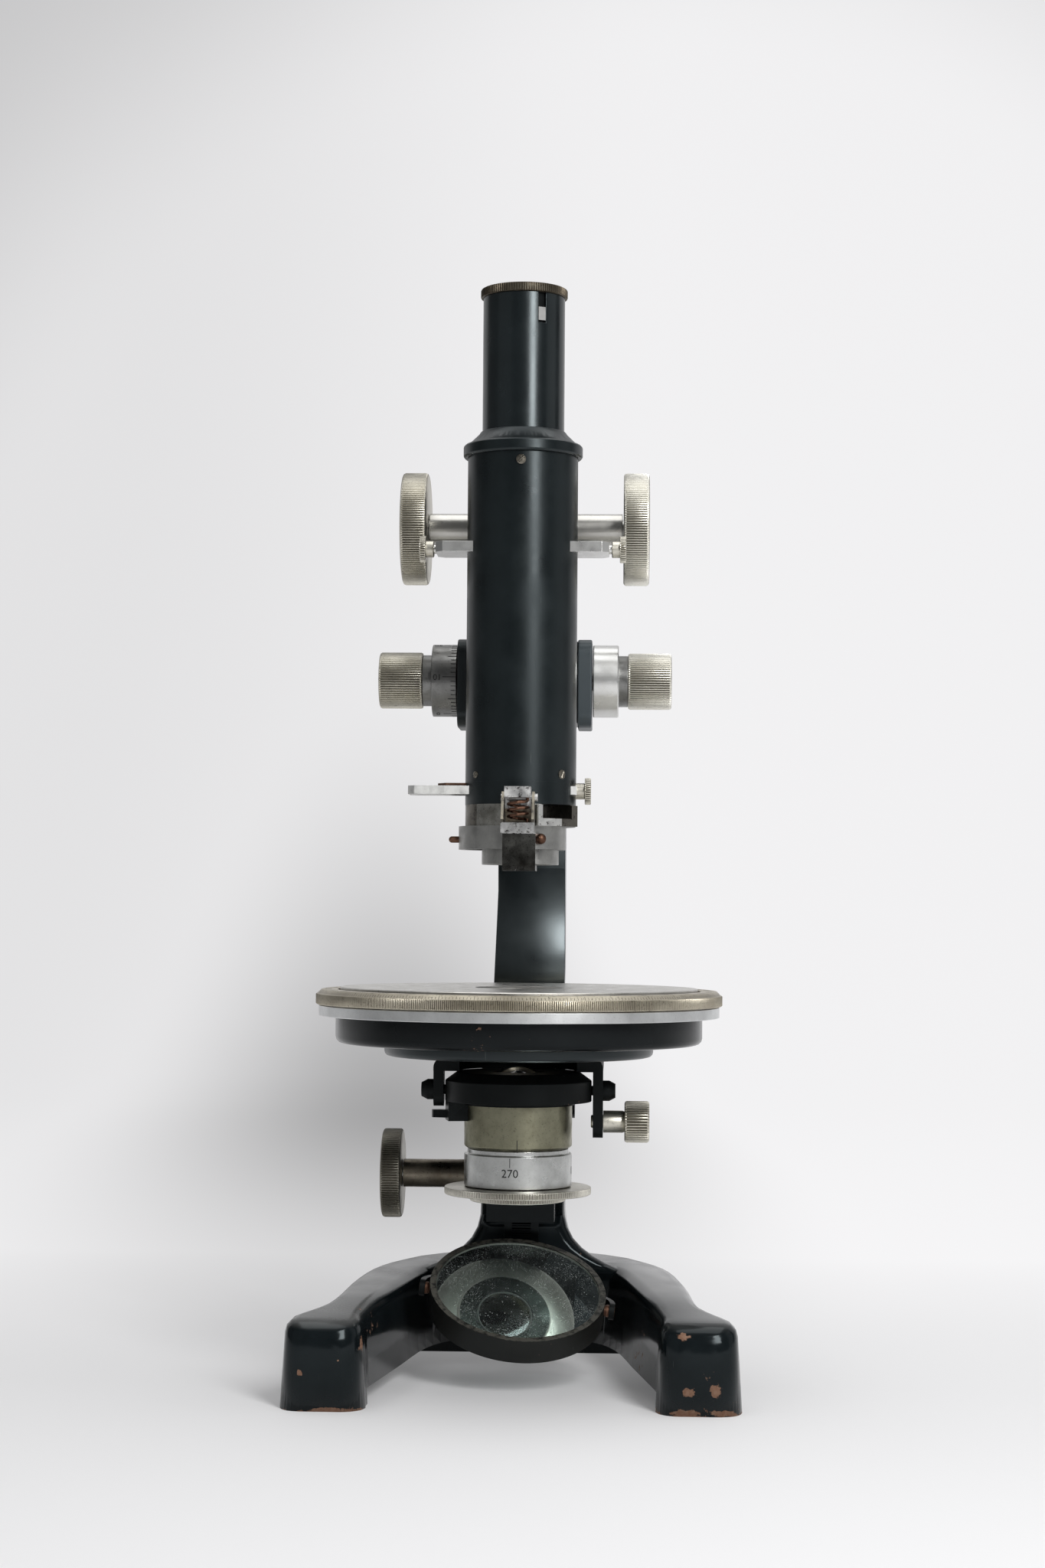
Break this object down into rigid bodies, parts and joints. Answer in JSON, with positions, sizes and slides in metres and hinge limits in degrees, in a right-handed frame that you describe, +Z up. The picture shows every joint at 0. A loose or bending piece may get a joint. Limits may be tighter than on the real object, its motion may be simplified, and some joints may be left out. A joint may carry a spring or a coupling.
{
  "type": "polarizing microscope",
  "caption": "Polarizing microscope on a horseshoe foot: inclining limb, rotating stage, rack-and-pinion focusing, sliding analyzer and Bertrand lens, substage polarizer and a swinging mirror.",
  "frame": {"origin": "middle of the bounding box on the table, under the foot; the optical axis stands 12.3 mm in front of it (towards -Y)", "axes": "+Z up along the body tube, +Y from the optical axis back to the limb, +X to the viewer's right when facing the stage"},
  "size_m": [0.1338, 0.1494, 0.3367],
  "materials": {
    "black_lacquer": "gloss lacquer, worn at the edges",
    "blackened_brass": "satin black over brass",
    "aged_nickel": "knurled, dulled nickel plate",
    "bright_steel": "satin, lightly scratched",
    "stage_metal": "aged plate with a knurled edge",
    "aged_brass": "tarnished",
    "dark_steel": "pitted, darkened steel",
    "brown_steel": "rust-brown steel",
    "scale_metal": "satin, engraved scale",
    "lens_glass": "clear polished glass",
    "polar_film": "dark polarizing disc",
    "mirror_glass": "dusty silvered glass"
  },
  "bodies": {
    "base": {"foot": "black_lacquer", "pivot_axle": "blackened_brass"},
    "limb": {"limb": "black_lacquer", "fine_housing": "black_lacquer", "fine_covers": "black_lacquer", "stage_bracket": "black_lacquer", "stage_bearing": "black_lacquer", "stage_ring": "bright_steel", "tail_rail": "black_lacquer"},
    "fine_focus": {"fine_shaft": "bright_steel", "fine_drums": "scale_metal", "fine_knob_left": "aged_nickel", "fine_knob_right": "aged_nickel"},
    "carriage": {"focus_carriage": "black_lacquer", "coarse_sleeves": "bright_steel"},
    "coarse_focus": {"coarse_pinion": "bright_steel", "coarse_knob_left": "aged_nickel", "coarse_knob_right": "aged_nickel"},
    "tube": {"body_tube": "black_lacquer", "tube_shoulder": "black_lacquer", "eyepiece_tube": "black_lacquer", "tube_slide": "bright_steel", "bertrand_guide": "blackened_brass", "analyzer_housing": "black_lacquer", "analyzer_leaf": "brown_steel", "compensator_housing": "stage_metal", "clutch_drum": "stage_metal", "objective_socket": "bright_steel", "centring_screws": "brown_steel", "clamp_bracket": "bright_steel", "clamp_spring": "brown_steel"},
    "eyepiece": {"eyepiece_body": "aged_brass", "eyepiece_lenses": "lens_glass"},
    "bertrand": {"bertrand_bar": "bright_steel", "bertrand_lens": "lens_glass", "bertrand_knobs": "aged_nickel"},
    "analyzer": {"analyzer_bar": "bright_steel", "analyzer_prism": "polar_film", "analyzer_knob": "aged_nickel"},
    "objective_clamp": {"clamp_lever": "dark_steel"},
    "stage": {"stage_top": "stage_metal", "stage_dial": "stage_metal"},
    "substage": {"substage_slide": "black_lacquer", "substage_yoke": "blackened_brass", "substage_sleeve": "aged_brass", "condenser_ring": "blackened_brass", "condenser_lens": "lens_glass", "condenser_sleeve": "aged_brass"},
    "substage_gear": {"substage_pinion": "bright_steel", "substage_knob": "aged_nickel"},
    "condenser_clamp": {"condenser_screw": "aged_nickel"},
    "iris": {"iris_lever": "blackened_brass"},
    "polarizer": {"polarizer_scale": "scale_metal", "polarizer_rim": "aged_nickel", "polarizer_disc": "polar_film"},
    "fork": {"mirror_fork": "blackened_brass", "mirror_pivots": "brown_steel"},
    "mirror": {"mirror_frame": "blackened_brass", "plane_mirror": "mirror_glass", "concave_mirror": "mirror_glass"}
  },
  "joints": [
    {"name": "inclination", "type": "hinge", "parent": "base", "child": "limb", "pos_m": [0, 0.0437, 0.084], "axis": [-1, 0, 0], "range_deg": [0, 90]},
    {"name": "fine_focus", "type": "hinge", "parent": "limb", "child": "fine_focus", "pos_m": [0, 0.0257, 0.218], "axis": [1, 0, 0], "range_deg": [-3600.5, 3600.5]},
    {"name": "fine_slide", "type": "slide", "parent": "limb", "child": "carriage", "axis": [0, 0, 1], "range_m": [-0.001, 0.001]},
    {"name": "coarse_focus", "type": "hinge", "parent": "carriage", "child": "coarse_focus", "pos_m": [0, 0.0207, 0.2665], "axis": [1, 0, 0], "range_deg": [-385.1, 115.1]},
    {"name": "tube_slide", "type": "slide", "parent": "carriage", "child": "tube", "axis": [0, 0, 1], "range_m": [-0.01195, 0.03998]},
    {"name": "eyepiece_slide", "type": "slide", "parent": "tube", "child": "eyepiece", "axis": [0, 0, 1], "range_m": [0, 0.03]},
    {"name": "bertrand_slide", "type": "slide", "parent": "tube", "child": "bertrand", "axis": [1, 0, 0], "range_m": [-0.008, 0.008]},
    {"name": "analyzer_slide", "type": "slide", "parent": "tube", "child": "analyzer", "axis": [1, 0, 0], "range_m": [0, 0.016]},
    {"name": "clamp_hinge", "type": "hinge", "parent": "tube", "child": "objective_clamp", "pos_m": [0, -0.0315, 0.1782], "axis": [-1, 0, 0], "range_deg": [0, 10], "stiffness_Nm_per_rad": 0.1, "springref_deg": -5.73, "deforming": ["clamp_spring"]},
    {"name": "stage_turn", "type": "hinge", "parent": "limb", "child": "stage", "pos_m": [0, -0.0123, 0.118], "axis": [0, 0, 1], "continuous": true},
    {"name": "substage_slide", "type": "slide", "parent": "limb", "child": "substage", "axis": [0, 0, 1], "range_m": [-0.006, 0]},
    {"name": "substage_focus", "type": "hinge", "parent": "substage", "child": "substage_gear", "pos_m": [0, 0.0187, 0.0604], "axis": [1, 0, 0], "range_deg": [-0.1, 86.1]},
    {"name": "condenser_clamp", "type": "hinge", "parent": "substage", "child": "condenser_clamp", "pos_m": [0.03, -0.0123, 0.0796], "axis": [1, 0, 0], "range_deg": [-20, 20]},
    {"name": "iris_turn", "type": "hinge", "parent": "substage", "child": "iris", "pos_m": [0, -0.0123, 0.084], "axis": [0, 0, 1], "range_deg": [-30, 30]},
    {"name": "polarizer_turn", "type": "hinge", "parent": "substage", "child": "polarizer", "pos_m": [0, -0.0123, 0.065], "axis": [0, 0, 1], "continuous": true},
    {"name": "fork_turn", "type": "hinge", "parent": "limb", "child": "fork", "pos_m": [0, 0.0237, 0.0251], "axis": [0, 1, 0], "range_deg": [-28.6, 15.4]},
    {"name": "mirror_tilt", "type": "hinge", "parent": "fork", "child": "mirror", "pos_m": [0, -0.0123, 0.0251], "axis": [0.9934, 0, -0.1149], "range_deg": [-26.5, 153.5]}
  ],
  "couplings": [
    {"joint": "fine_focus", "follows": "fine_slide", "rad_per_m": 62832},
    {"joint": "coarse_focus", "follows": "tube_slide", "rad_per_m": -168.07},
    {"joint": "substage_focus", "follows": "substage_slide", "rad_per_m": -250}
  ]
}
